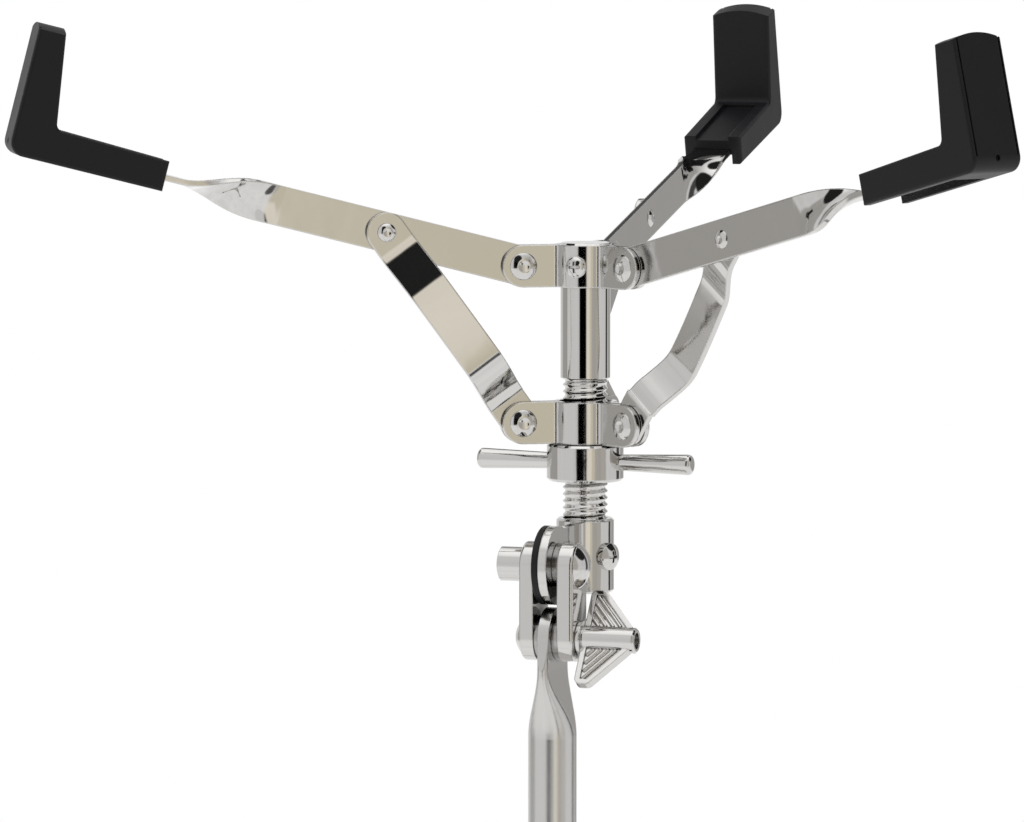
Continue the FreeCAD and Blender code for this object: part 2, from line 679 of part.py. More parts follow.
def rod_socket():
    barrel = chamfered(SOCKET_R, SOCKET_H, SOCKET_CHAMFER)
    barrel = moved(barrel, V(0, ROD_OFFSET, -SOCKET_H / 2))
    x0 = EAR_SHIFT - EAR_T / 2
    disc = rod_between(V(x0, 0, 0), X_AXIS, EAR_R, EAR_T)
    half = SOCKET_H / 2 - SOCKET_CHAMFER
    web = block(x0, x0 + EAR_T, 0, ROD_OFFSET, -half, half)
    body = one(barrel.fuse([disc, web]))
    picks = []
    for edge in body.Edges:
        middle = edge.CenterOfMass
        upright = edge.BoundBox.ZLength > half and edge.BoundBox.XLength < PIN_CLEAR
        if upright and middle.y > EAR_R and abs(middle.x - EAR_SHIFT) < EAR_T:
            picks.append(edge)
    body = body.makeFillet(WEB_FILLET, picks)
    bore = rod_between(V(0, ROD_OFFSET, -SOCKET_H / 2 + SOCKET_FLOOR), Z_AXIS, THREAD_R, SOCKET_H)
    body = body.cut(bore)
    body = body.cut(set_screw_shank(V(0, ROD_OFFSET, 0)))
    body = body.cut(x_hole(0, BOLT_R + PIN_CLEAR))
    return moved(body, V(0, 0, TOP_BOLT_Z))


def set_screw():
    spot = SOCKET_R + SET_SCREW_HEAD_H
    rim = spot - SET_SCREW_HEAD_H / 2
    shank = rod_between(V(ROD_BORE_R, 0, 0), X_AXIS, SET_SCREW_R, rim - ROD_BORE_R)
    head = to_axis(dome(SET_SCREW_HEAD_R, SET_SCREW_HEAD_H / 2), V(rim, 0, 0), X_AXIS)
    back = SOCKET_R - SET_SCREW_HEAD_H
    skirt = rod_between(V(back, 0, 0), X_AXIS, SET_SCREW_HEAD_R, rim - back)
    skirt = skirt.cut(rod_between(V(0, 0, -SOCKET_H), Z_AXIS, SOCKET_R, 2 * SOCKET_H))
    screw = one(shank.fuse([head, skirt])).cut(cross_slot(spot))
    return moved(screw, V(0, ROD_OFFSET, TOP_BOLT_Z), about(Z_AXIS, SET_SCREW_AZ))


def washer(x0, x1, z):
    disc = rod_between(V(x0, 0, z), X_AXIS, WASHER_R, x1 - x0)
    return disc.cut(x_hole(z, BOLT_R))


def friction_disc(x1):
    disc = chamfered(EAR_R, DISC_T, DISC_EDGE)
    disc = to_axis(disc, V(x1 - DISC_T, 0, TOP_BOLT_Z), X_AXIS)
    return disc.cut(x_hole(TOP_BOLT_Z, BOLT_R))


def pivot_bolt():
    left = -CHEEK_LEFT_IN - CHEEK_LEFT_T - PIVOT_NUT_H + NUT_DOME_H
    right = CHEEK_RIGHT_IN + CHEEK_RIGHT_T
    shank = rod_between(V(left, 0, TOP_BOLT_Z), X_AXIS, BOLT_R, right - left)
    head = to_axis(dome(PIVOT_HEAD_R, PIVOT_HEAD_H), V(right, 0, TOP_BOLT_Z), X_AXIS)
    return one(shank.fuse(head))


def pivot_nut():
    body = rod_between(ORIGIN, Z_AXIS, PIVOT_NUT_R, PIVOT_NUT_H - NUT_DOME_H)
    top = moved(dome(PIVOT_NUT_R, NUT_DOME_H), V(0, 0, PIVOT_NUT_H - NUT_DOME_H))
    nut = one(body.fuse(top))
    nut = nut.cut(rod_between(ORIGIN, Z_AXIS, BOLT_R, PIVOT_NUT_H - NUT_DOME_H))
    return to_axis(nut, V(-CHEEK_LEFT_IN - CHEEK_LEFT_T, 0, TOP_BOLT_Z), -X_AXIS)


def clamp_bolt():
    left = -CHEEK_LEFT_IN - CHEEK_LEFT_T
    right = CHEEK_RIGHT_IN + CHEEK_RIGHT_T + WING_LEN - WING_RIM
    shank = rod_between(V(left, 0, LOW_BOLT_Z), X_AXIS, BOLT_R, right - left)
    head = to_axis(dome(CLAMP_HEAD_R, CLAMP_HEAD_H), V(left, 0, LOW_BOLT_Z), -X_AXIS)
    return one(shank.fuse(head))


# Wings, built along Z from the clamped face outwards
def wing_plate(side):
    inner = WING_BARREL_R / 2
    points = [(inner, WING_FLANGE_H), (WING_REACH, WING_FLANGE_H)]
    points += [(WING_REACH, WING_SHOULDER), (WING_BARREL_R, WING_LEN - WING_RIM)]
    points += [(inner, WING_LEN - WING_RIM)]
    base = -WING_T / 2
    plate = prism([V(side * r, base, z) for r, z in points], V(0, WING_T, 0))
    picks = []
    for edge in plate.Edges:
        along = edge.BoundBox.YLength > WING_T / 2
        if along and abs(abs(edge.CenterOfMass.x) - WING_REACH) < PIN_CLEAR:
            picks.append(edge)
    plate = plate.makeFillet(WING_CORNER_R, picks)
    low = WING_FLANGE_H + WING_RIM
    far = WING_REACH - WING_RIM
    run = WING_BARREL_R - WING_REACH
    climb = WING_LEN - WING_RIM - WING_SHOULDER
    shift = WING_RIM * math.hypot(run, climb) / -run
    start = WING_BARREL_R - WING_RIM / 2
    shoulder_z = WING_SHOULDER - shift + (far - WING_REACH) * climb / run
    top_z = WING_SHOULDER - shift + (start - WING_REACH) * climb / run
    inset = [(start, low), (far, low), (far, shoulder_z), (start, top_z)]
    depth = (WING_T - WING_WEB_T) / 2
    for y0 in (base - depth, base + WING_T - depth):
        plate = plate.cut(prism([V(side * r, y0, z) for r, z in inset], V(0, 2 * depth, 0)))
    return one(plate.fuse(wing_ribs(side)))


def wing_ribs(side):
    """Half-round ribs in the panels, beside the sloped edge of the wing."""
    slope = V(WING_BARREL_R - WING_REACH, 0, WING_LEN - WING_RIM - WING_SHOULDER).normalize()
    low = WING_FLANGE_H + WING_RIM + WING_RIB_R
    inner = WING_BARREL_R
    ribs = []
    for k in range(WING_RIBS):
        inset = WING_RIM + WING_RIB_STEP * (k + 1) - WING_RIB_R
        r = WING_REACH - slope.z * inset
        z = WING_SHOULDER + slope.x * inset
        first = max((low - z) / slope.z, (r - WING_REACH + WING_RIM) / -slope.x)
        last = (inner - r) / slope.x
        way = V(side * slope.x, 0, slope.z)
        for face in (1, -1):
            foot = V(side * r, face * WING_WEB_T / 2, z)
            ribs.append(rod_between(foot + way * first, way, WING_RIB_R, last - first))
    return ribs


def wing_body():
    barrel = chamfered(WING_BARREL_R, WING_LEN, WING_BARREL_CHAMFER)
    flange = rod_between(ORIGIN, Z_AXIS, WING_FLANGE_R, WING_FLANGE_H)
    return one(barrel.fuse([flange, wing_plate(1), wing_plate(-1)]))


def wing_nut():
    nut = wing_body()
    nut = nut.cut(rod_between(ORIGIN, Z_AXIS, BOLT_R + PIN_CLEAR, WING_LEN))
    base = V(CHEEK_RIGHT_IN + CHEEK_RIGHT_T + SEAT_GAP, 0, LOW_BOLT_Z)
    leaned = moved(nut, ORIGIN, about(Z_AXIS, WING_NUT_TURN))
    return to_axis(leaned, base, X_AXIS)


def wing_screw(azimuth, z, tip_r):
    start = BOSS_REACH + SEAT_GAP
    shank = rod_between(V(0, 0, tip_r - start), Z_AXIS, SCREW_R, start - tip_r + WING_FLANGE_H)
    screw = one(wing_body().fuse(shank))
    outward = V(math.cos(math.radians(azimuth)), math.sin(math.radians(azimuth)), 0)
    return to_axis(screw, outward * start + V(0, 0, z), outward)


# Upper tube
def stadium(radius, straight, z):
    top = Part.makeLine(V(radius, straight, z), V(radius, -straight, z))
    low_arc = Part.Arc(V(radius, -straight, z), V(0, -straight - radius, z), V(-radius, -straight, z))
    bottom = Part.makeLine(V(-radius, -straight, z), V(-radius, straight, z))
    high_arc = Part.Arc(V(-radius, straight, z), V(0, straight + radius, z), V(radius, straight, z))
    return Part.Wire([top, low_arc.toShape(), bottom, high_arc.toShape()])


def flattening(radius, flat_half):
    """Tube pressed flat with its girth kept."""
    girth = 2 * math.pi * radius
    z_top = LOW_BOLT_Z - FLAT_BELOW_BOLT
    wires = [round_section(z_top - FLATTEN_LEN)]
    for i in range(1, FLATTEN_SECTIONS):
        part = i / (FLATTEN_SECTIONS - 1)
        r = radius + (flat_half - radius) * smooth(part)
        straight = (girth - 2 * math.pi * r) / 4
        wires.append(stadium(r, straight, z_top - FLATTEN_LEN * (1 - part)))
    return Part.makeLoft(wires, True, False)


def round_section(z):
    return stadium(UPPER_TUBE_R - ROUND_SEED, ROUND_SEED, z)


def upper_tube():
    z_flat = LOW_BOLT_Z - FLAT_BELOW_BOLT
    z_round = z_flat - FLATTEN_LEN
    z_low = CLAMP_Z1 - TUBE_INSERT
    inner_r = UPPER_TUBE_R - TUBE_WALL
    straight_tube = Part.Face(round_section(z_low)).extrude(V(0, 0, z_round - z_low))
    shape = straight_tube.fuse(flattening(UPPER_TUBE_R, FLAT_T / 2))
    half_w = (2 * math.pi * UPPER_TUBE_R - math.pi * FLAT_T) / 4 + FLAT_T / 2
    blade = Part.Face(stadium(FLAT_T / 2, half_w - FLAT_T / 2, z_flat))
    blade = blade.extrude(V(0, 0, FLAT_BELOW_BOLT + FLAT_END_R))
    corners = [(-half_w, z_flat), (half_w, z_flat), (FLAT_END_R, LOW_BOLT_Z), (-FLAT_END_R, LOW_BOLT_Z)]
    outline = prism([V(-FLAT_T, y, z) for y, z in corners], V(2 * FLAT_T, 0, 0))
    round_end = rod_between(V(-FLAT_T, 0, LOW_BOLT_Z), X_AXIS, FLAT_END_R, 2 * FLAT_T)
    shape = shape.fuse(blade.common(one(outline.fuse(round_end))))
    hollow = rod_between(V(0, 0, z_low), Z_AXIS, inner_r, z_round - z_low)
    shape = shape.cut(hollow)
    shape = shape.cut(x_hole(LOW_BOLT_Z, BOLT_R + PIN_CLEAR))
    return one(shape)


# Base tube and clamp
def ring(z0, height, inner, outer):
    solid = rod_between(V(0, 0, z0), Z_AXIS, outer, height)
    return solid.cut(rod_between(V(0, 0, z0), Z_AXIS, inner, height))


def boss(azimuth, z):
    outward = V(math.cos(math.radians(azimuth)), math.sin(math.radians(azimuth)), 0)
    return rod_between(V(0, 0, z), outward, BOSS_R, BOSS_REACH)


def boss_hole(azimuth, z):
    outward = V(math.cos(math.radians(azimuth)), math.sin(math.radians(azimuth)), 0)
    return rod_between(V(0, 0, z), outward, SCREW_R + PIN_CLEAR, BOSS_REACH)


CLAMP_SCREW_Z = CLAMP_Z0 + (CLAMP_GRIP + CLAMP_H) / 2


def height_clamp():
    body = chamfered(CLAMP_R, CLAMP_H, CLAMP_EDGE_R)
    body = moved(body, V(0, 0, CLAMP_Z0))
    body = one(body.fuse(boss(CLAMP_SCREW_AZ, CLAMP_SCREW_Z)))
    body = body.cut(rod_between(V(0, 0, CLAMP_Z0), Z_AXIS, BASE_TUBE_R, CLAMP_GRIP))
    upper = rod_between(V(0, 0, BASE_TUBE_TOP), Z_AXIS, BUSH_R, CLAMP_H - CLAMP_GRIP)
    return one(body.cut([upper, boss_hole(CLAMP_SCREW_AZ, CLAMP_SCREW_Z)]))


def height_bush():
    z0 = BASE_TUBE_TOP + SEAT_GAP
    sleeve = rod_between(V(0, 0, z0), Z_AXIS, BUSH_R - SLIDE_CLEAR, CLAMP_Z1 + SEAT_GAP - z0)
    flange = chamfered(BUSH_FLANGE_R, BUSH_FLANGE_H, BUSH_WALL_GAP)
    flange = moved(flange, V(0, 0, CLAMP_Z1 + SEAT_GAP))
    bush = one(sleeve.fuse(flange))
    return bush.cut(rod_between(V(0, 0, z0), Z_AXIS, UPPER_TUBE_R + SLIDE_CLEAR, CLAMP_H))


def base_tube():
    tube = ring(BASE_TUBE_Z0, BASE_TUBE_TOP - BASE_TUBE_Z0, BASE_TUBE_R - TUBE_WALL, BASE_TUBE_R)
    return tube.cut(collar_pin_hole())


def collar_pin_hole():
    outward = V(math.cos(math.radians(COLLAR_SCREW_AZ)), math.sin(math.radians(COLLAR_SCREW_AZ)), 0)
    return rod_between(V(0, 0, STRUT_HINGE_Z), outward, PIN_R, COLLAR_R)


def collar_pin():
    inner = BASE_TUBE_R - TUBE_WALL
    shank = rod_between(V(inner, 0, 0), X_AXIS, PIN_R, COLLAR_R - inner)
    head = to_axis(dome(PIN_HEAD_R, PIN_HEAD_H), V(COLLAR_R, 0, 0), X_AXIS)
    skirt = rod_between(V(COLLAR_R - PIN_HEAD_H, 0, 0), X_AXIS, PIN_HEAD_R, PIN_HEAD_H)
    skirt = skirt.cut(rod_between(V(0, 0, -COLLAR_R), Z_AXIS, COLLAR_R, 2 * COLLAR_R))
    pin = one(shank.fuse([head, skirt]))
    return moved(pin, V(0, 0, STRUT_HINGE_Z), about(Z_AXIS, COLLAR_SCREW_AZ))


def end_cap():
    disc = chamfered(BASE_TUBE_R, CAP_T, COLLAR_EDGE_R)
    plug = rod_between(V(0, 0, CAP_T), Z_AXIS, BASE_TUBE_R - TUBE_WALL, CAP_PLUG)
    return moved(one(disc.fuse(plug)), V(0, 0, BASE_TUBE_Z0 - CAP_T))


# Tripod
def collar(z, height, bore, lug_t, lug_r):
    body = chamfered(COLLAR_R, height, COLLAR_EDGE_R)
    body = moved(body, V(0, 0, -height / 2))
    lugs = []
    for k in range(LEG_COUNT):
        plate = block(0, LEG_HINGE_R, -lug_t / 2, lug_t / 2, -lug_r, lug_r)
        end = rod_between(V(LEG_HINGE_R, -lug_t / 2, 0), Y_AXIS, lug_r, lug_t)
        lug = plate.fuse(end).cut(pin_hole(LEG_HINGE_R, 0, RIVET_R, lug_t))
        lugs.append(moved(lug, ORIGIN, about(Z_AXIS, FIRST_LEG_AZ + k * LEG_STEP)))
    body = one(body.fuse(lugs))
    body = body.cut(rod_between(V(0, 0, -height), Z_AXIS, bore, 2 * height))
    return moved(body, V(0, 0, z))


def leg_collar():
    lug_r = LEG_END_R - SIDE_CLEAR
    body = collar(LEG_HINGE_Z, COLLAR_H, BASE_TUBE_R + SLIDE_CLEAR, COLLAR_LUG_T, lug_r)
    knob = boss(COLLAR_SCREW_AZ, LEG_HINGE_Z)
    bore = V(0, 0, LEG_HINGE_Z - COLLAR_H)
    knob = knob.cut(rod_between(bore, Z_AXIS, BASE_TUBE_R + SLIDE_CLEAR, 2 * COLLAR_H))
    return one(body.fuse(knob).cut(boss_hole(COLLAR_SCREW_AZ, LEG_HINGE_Z)))


def channel(length, width, low, high, wall, end_r, web_up):
    shell = block(0, length, -width / 2, width / 2, low, high)
    end = rod_between(V(0, -width / 2, 0), Y_AXIS, end_r, width)
    body = one(shell.fuse(end))
    inside = width / 2 - wall
    z0 = low - end_r if web_up else low + wall
    z1 = high - wall if web_up else high + end_r
    body = body.cut(block(-2 * end_r, length + end_r, -inside, inside, z0, z1))
    return body


def leg():
    body = channel(LEG_LEN, LEG_W, -LEG_DOWN, LEG_UP, LEG_WALL, LEG_END_R, True)
    body = body.cut(block(-LEG_UP, 0, -LEG_W, LEG_W, LEG_UP - LEG_WALL, LEG_UP))
    body = body.cut(pin_hole(0, 0, RIVET_R + PIN_CLEAR, LEG_W))
    return body.cut(pin_hole(LINK_LEN, 0, RIVET_R, LEG_W))


def strut():
    body = channel(LINK_LEN, STRUT_W, -STRUT_DOWN, STRUT_UP, LEG_WALL, STRUT_END_R, False)
    far = rod_between(V(LINK_LEN, -STRUT_W / 2, 0), Y_AXIS, STRUT_END_R, STRUT_W)
    inside = STRUT_W / 2 - LEG_WALL
    far = far.cut(block(LINK_LEN - STRUT_W, LINK_LEN + STRUT_W, -inside, inside, -STRUT_W, STRUT_W))
    body = one(body.fuse(far))
    hinge = pin_hole(0, 0, RIVET_R + PIN_CLEAR, STRUT_W)
    knee = pin_hole(LINK_LEN, 0, RIVET_R + PIN_CLEAR, STRUT_W)
    return body.cut([hinge, knee])


def on_leg(shape, azimuth):
    leaned = moved(shape, V(LEG_HINGE_R, 0, LEG_HINGE_Z), about(Y_AXIS, RIGHT_ANGLE - LEG_SPREAD))
    return moved(leaned, ORIGIN, about(Z_AXIS, azimuth))


def on_strut(shape, azimuth):
    leaned = moved(shape, V(LEG_HINGE_R, 0, STRUT_HINGE_Z), about(Y_AXIS, LEG_SPREAD - RIGHT_ANGLE))
    return moved(leaned, ORIGIN, about(Z_AXIS, azimuth))


def boot(azimuth):
    x0 = LEG_LEN - BOOT_LEN
    half = LEG_W / 2 + BOOT_WALL
    body = block(x0, LEG_LEN + BOOT_END, -half, half, -LEG_DOWN - BOOT_SOLE, LEG_UP + BOOT_WALL)
    body = body.makeFillet(BOOT_EDGE_R, body.Edges)
    body = body.cut(block(x0 - CUT_OVER, LEG_LEN, -LEG_W / 2, LEG_W / 2, -LEG_DOWN, LEG_UP))
    body = on_leg(body, azimuth)
    reach = 2 * BASKET_REACH
    floor = block(-reach, reach, -reach, reach, -reach, 0)
    return body.cut(floor)


# Write every piece
strap = arm_strap()
boot_tip = tip_boot(strap)
brace = brace_strap()
plate_fixed = hub_plate(True)
plate_moving = hub_plate(False)
hub_rivet = rivet(RIVET_R, -EAR_OUT, EAR_OUT, HUB_HEAD_R, HUB_HEAD_H)
hub_rivet = moved(hub_rivet, V(HINGE_R, 0, 0))
drop = V(0, 0, -LINK_DROP)
screws = []
upper_rivets = []
lower_rivets = []
for k in range(ARM_COUNT):
    azimuth = FIRST_ARM_AZ + k * ARM_STEP
    tag = "_" + str(k + 1)
    save("arm" + tag, on_basket(on_arm(strap), azimuth))
    save("arm_tip" + tag, on_basket(on_arm(boot_tip), azimuth))
    save("arm_brace_rivet" + tag, on_basket(on_arm(arm_rivet()), azimuth))
    save("brace" + tag, on_basket(on_brace(brace), azimuth))
    save("upper_hub_plate" + tag, on_basket(plate_fixed, azimuth))
    save("lower_hub_plate" + tag, on_basket(moved(plate_moving, drop), azimuth))
    screws.append(on_basket(hub_screw(), azimuth))
    upper_rivets.append(on_basket(hub_rivet, azimuth))
    lower_rivets.append(on_basket(moved(hub_rivet, drop), azimuth))
save("upper_hub_screws", screws)
save("upper_hub_rivets", upper_rivets)
save("lower_hub_rivets", lower_rivets)
save("threaded_rod", threaded_rod())
save("basket_nut", basket_nut())
nut_base = ROD_AXIS + V(0, 0, NUT_TOP - NUT_H)
save("basket_nut_handles", [moved(handle(1), nut_base), moved(handle(-1), nut_base)])

left_face = -CHEEK_LEFT_IN
right_face = CHEEK_RIGHT_IN
save("rod_socket", rod_socket())
save("socket_set_screw", set_screw())
save("tilter_cheek_left", cheek(left_face - CHEEK_LEFT_T, CHEEK_LEFT_T, left_face - CHEEK_LEFT_T))
save("tilter_cheek_right", cheek(right_face, CHEEK_RIGHT_T, right_face + CHEEK_RIGHT_T))
ear_left = EAR_SHIFT - EAR_T / 2 - SEAT_GAP
ear_right = EAR_SHIFT + EAR_T / 2 + SEAT_GAP
flat_face = FLAT_T / 2 + SEAT_GAP
save("tilter_friction_disc", friction_disc(ear_left))
washers = [washer(left_face, ear_left - DISC_T, TOP_BOLT_Z), washer(ear_right, right_face, TOP_BOLT_Z)]
washers += [washer(left_face, -flat_face, LOW_BOLT_Z), washer(flat_face, right_face, LOW_BOLT_Z)]
save("tilter_washers", washers)
save("tilter_pivot_bolt", pivot_bolt())
save("tilter_pivot_nut", pivot_nut())
save("tilter_clamp_bolt", clamp_bolt())
save("tilter_wing_nut", wing_nut())
save("upper_tube", upper_tube())

save("base_tube", base_tube())
save("base_tube_cap", end_cap())
save("height_clamp", height_clamp())
save("height_bush", height_bush())
bush_face = BUSH_R + SCREW_TIP_GAP
save("height_wing_screw", wing_screw(CLAMP_SCREW_AZ, CLAMP_SCREW_Z, bush_face))
save("leg_collar", leg_collar())
tube_face = BASE_TUBE_R + SCREW_TIP_GAP
save("leg_collar_wing_screw", wing_screw(COLLAR_SCREW_AZ, LEG_HINGE_Z, tube_face))
low_collar = collar(STRUT_HINGE_Z, LOW_COLLAR_H, BASE_TUBE_R, LOW_LUG_T, STRUT_UP - SIDE_CLEAR)
save("strut_collar", low_collar.cut(collar_pin_hole()))
save("strut_collar_pin", collar_pin())

leg_grip = LEG_W / 2 + SEAT_GAP
strut_grip = STRUT_W / 2 + SEAT_GAP
collar_rivets = []
strut_rivets = []
for k in range(LEG_COUNT):
    azimuth = FIRST_LEG_AZ + k * LEG_STEP
    tag = "_" + str(k + 1)
    save("leg" + tag, on_leg(leg(), azimuth))
    save("leg_foot" + tag, boot(azimuth))
    save("leg_strut" + tag, on_strut(strut(), azimuth))
    knee = rivet(RIVET_R, -LEG_W / 2, LEG_W / 2, LEG_HEAD_R, LEG_HEAD_H)
    save("leg_strut_rivet" + tag, on_leg(moved(knee, V(LINK_LEN, 0, 0)), azimuth))
    turn = about(Z_AXIS, azimuth)
    top_pin = rivet(RIVET_R, -leg_grip, leg_grip, LEG_HEAD_R, LEG_HEAD_H)
    collar_rivets.append(moved(moved(top_pin, V(LEG_HINGE_R, 0, LEG_HINGE_Z)), ORIGIN, turn))
    low_pin = rivet(RIVET_R, -strut_grip, strut_grip, LEG_HEAD_R, LEG_HEAD_H)
    strut_rivets.append(moved(moved(low_pin, V(LEG_HINGE_R, 0, STRUT_HINGE_Z)), ORIGIN, turn))
save("leg_collar_rivets", collar_rivets)
save("strut_collar_rivets", strut_rivets)
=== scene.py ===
import json
import math

import bpy
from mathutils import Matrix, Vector


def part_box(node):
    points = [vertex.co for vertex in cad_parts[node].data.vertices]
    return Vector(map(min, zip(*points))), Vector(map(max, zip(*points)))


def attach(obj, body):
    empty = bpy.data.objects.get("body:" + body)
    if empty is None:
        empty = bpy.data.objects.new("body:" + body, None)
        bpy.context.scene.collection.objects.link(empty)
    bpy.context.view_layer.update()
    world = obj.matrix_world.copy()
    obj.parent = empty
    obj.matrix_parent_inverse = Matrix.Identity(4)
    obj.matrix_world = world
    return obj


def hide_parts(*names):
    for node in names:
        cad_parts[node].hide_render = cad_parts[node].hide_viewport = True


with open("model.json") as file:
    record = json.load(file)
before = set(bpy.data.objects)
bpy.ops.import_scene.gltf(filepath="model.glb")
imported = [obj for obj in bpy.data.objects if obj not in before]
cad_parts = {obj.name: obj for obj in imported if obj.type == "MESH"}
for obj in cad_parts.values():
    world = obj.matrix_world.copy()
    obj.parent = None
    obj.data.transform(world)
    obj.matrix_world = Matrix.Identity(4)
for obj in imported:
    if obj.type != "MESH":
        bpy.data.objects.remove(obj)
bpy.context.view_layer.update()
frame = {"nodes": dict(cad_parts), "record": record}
nodes = frame["nodes"]

UP = Vector((0.0, 0.0, 1.0))
HALF_TURN = 180.0

# Camera fitted to the photograph: degrees, metres, and millimetres on the sensor
CAMERA_AZIMUTH = 19.1
CAMERA_ELEVATION = 5.23
CAMERA_DISTANCE = 2.332
CAMERA_LENS = 225.5
SENSOR_WIDTH = 36.0
CAMERA_CLIP = 100.0
AIM_BELOW_HUB = 0.0532
AIM_LEFT_OF_ROD = 0.02666

# Threaded rod: sizes in metres, and the thread's flank as (part of the pitch, part of the depth)
THREAD_CREST_R = 0.0082
THREAD_ROOT_R = 0.0073
THREAD_PITCH = 0.0025
SLEEVE_R = 0.00905
SLEEVE_BELOW_HUB = 0.0412
ROD_TOP_R = 0.0094
ROD_CHAMFER = 0.0008
THREAD_FLANK = [(0.0, 0.0), (0.14, 0.06), (0.42, 0.94), (0.5, 1.0), (0.58, 0.94), (0.86, 0.06)]

# Turned pieces: segments of a turn, and the angle in degrees from which an edge is sharp
TURN_SEGMENTS = 48
SHARP_ANGLE = 40.0

# Rivets of the basket: shank, grips, heads as (radius, height), and the dish as parts of the head's
# radius and height
RIVET_R = 0.0025
HUB_GRIP = (-0.0033, 0.0033)
HUB_HEAD = (0.005, 0.0015)
ARM_GRIP = (-0.0011, 0.0035)
ARM_HEAD = (0.0034, 0.0013)
RIVET_DISH = 0.62
RIVET_DISH_DEPTH = 0.4
RIVET_SOFT = 0.00006
HEAD_STEPS = 16
HEAD_LAST_STEP = 0.3

# Painted shade in the joints of the metal: reach in metres, and the openness where it is full and where
# it ends
JOINT_SHADE_REACH = 0.007
JOINT_SHADE_FULL = 0.12
JOINT_SHADE_NONE = 0.6
JOINT_SHADE_DARK = 0.12
JOINT_SHADE_SAMPLES = 8

# Finishes: roughness low and high, relief as (scale per metre, depth in metres), rounded edge in metres
CHROME = (0.60, 0.59, 0.575)
WORN_STEEL = (0.42, 0.41, 0.40)
RUBBER_BLACK = (0.0055, 0.0055, 0.0068)
NYLON_BLACK = (0.008, 0.008, 0.008)
CAP_BLACK = (0.022, 0.022, 0.024)
METALS = {
    "sheet_chrome": dict(colour=CHROME, rough=(0.03, 0.09), relief=(55.0, 0.0001), edge=0.0008),
    "tube_chrome": dict(colour=CHROME, rough=(0.2, 0.28), relief=(40.0, 0.00002), edge=0.0004),
    "leg_chrome": dict(colour=CHROME, rough=(0.34, 0.44), relief=(40.0, 0.00002), edge=0.0006),
    "rod_chrome": dict(colour=CHROME, rough=(0.02, 0.06), relief=(40.0, 0.00001), edge=0.0003),
    "cast_chrome": dict(colour=CHROME, rough=(0.04, 0.10), relief=(160.0, 0.00004), edge=0.0006),
    "plated_fastener": dict(colour=CHROME, rough=(0.05, 0.12), relief=(220.0, 0.00002), edge=0.0003),
    "washer": dict(colour=WORN_STEEL, rough=(0.15, 0.28), relief=(300.0, 0.00002), edge=0.0002),
}
DULLS = {
    "rubber": dict(colour=RUBBER_BLACK, rough=(0.40, 0.56), relief=(1800.0, 0.00003), edge=0.0006),
    "nylon": dict(colour=NYLON_BLACK, rough=(0.4, 0.55), relief=(900.0, 0.00002), edge=0.0004),
    "cap_plastic": dict(colour=CAP_BLACK, rough=(0.4, 0.55), relief=(900.0, 0.00002), edge=0.0004),
}
SMUDGE_SCALE = 130.0
SMUDGE_DETAIL = 5.0
RIPPLE_DETAIL = 2.0
PATCH_SCALE = 60.0
PATCH_DETAIL = 4.0
PATCH_DARK = 0.75
PATCH_LIGHT = 1.3
GRAIN_DETAIL = 3.0
DULL_SPECULAR = 0.26
EDGE_SAMPLES = 6

# Studio: levels of the surroundings that the metal reflects, by degrees right of the camera
STUDIO_LEVEL = 0.84
STUDIO_SOFT = 4.0
STUDIO_BANDS = {
    "left_shade": (-130.0, -95.0, (0.49, 0.48, 0.46)),
    "camera": (-26.0, 1.0, (0.0, 0.0, 0.0)),
    "warm_light": (6.0, 17.0, (1.06, 1.0, 0.88)),
    "warm_wall": (21.0, 26.0, (0.82, 0.76, 0.61)),
    "right_shade": (29.0, 62.0, (0.57, 0.55, 0.51)),
    "right_flag": (109.0, 120.0, (0.08, 0.08, 0.08)),
    "back_shade": (131.0, 158.0, (0.47, 0.46, 0.45)),
}
# Flags: degrees right of the camera, degrees up, the radius in degrees where each is full and where
# it ends, and its level
STUDIO_FLAGS = {
    "back": (-178.0, 31.0, 8.0, 12.0, 0.1),
    "back_high": (160.0, 66.0, 10.0, 13.0, 0.02),
    "side": (98.0, 36.0, 20.0, 24.0, 0.02),
    "left_high": (-116.0, 48.0, 15.0, 18.5, 0.02),
    "over_camera": (-8.0, 33.0, 14.0, 20.0, 0.02),
    "under_camera": (-3.0, -13.5, 6.5, 8.0, 0.84),
    "low_right": (32.0, -17.0, 4.2, 5.6, 0.12),
}
# Unevenness, and the heights where bands fade and ground and ceiling start, as sines of the angle up
UNEVEN_SCALE = 5.0
UNEVEN_LOW = 0.84
UNEVEN_HIGH = 1.14
STRIP_FULL_HEIGHT = 0.45
STRIP_FADE_HEIGHT = 0.75
GROUND_LEVEL = 1.05
GROUND_FROM = -0.156
GROUND_FULL = -0.26
CEILING_LEVEL = 1.45
CEILING_FROM = 0.68
CEILING_FULL = 0.95
DIFFUSE_LEVEL = 0.62

# Floor: radius in metres, the parts of it where the floor starts and ends to fade, and its finish
FLOOR_RADIUS = 1.1
FLOOR_FADE = (0.35, 0.98)
FLOOR_COLOUR = (0.86, 0.86, 0.86, 1.0)
FLOOR_ROUGHNESS = 0.8

# Soft boxes: degrees right of the camera, degrees up, distance and size in metres, watts
SOFT_BOXES = {
    "key": (-60.0, 40.0, 2.2, (1.8, 1.8), 12.0),
    "fill": (70.0, 30.0, 2.4, (1.4, 1.6), 7.0),
    "top": (0.0, 88.0, 1.8, (1.8, 1.8), 9.0),
}


def socket(node, name, value):
    node.inputs[name].default_value = value


def new_material(name):
    material = bpy.data.materials.new(name)
    material.use_nodes = True
    return material, material.node_tree, material.node_tree.nodes["Principled BSDF"]


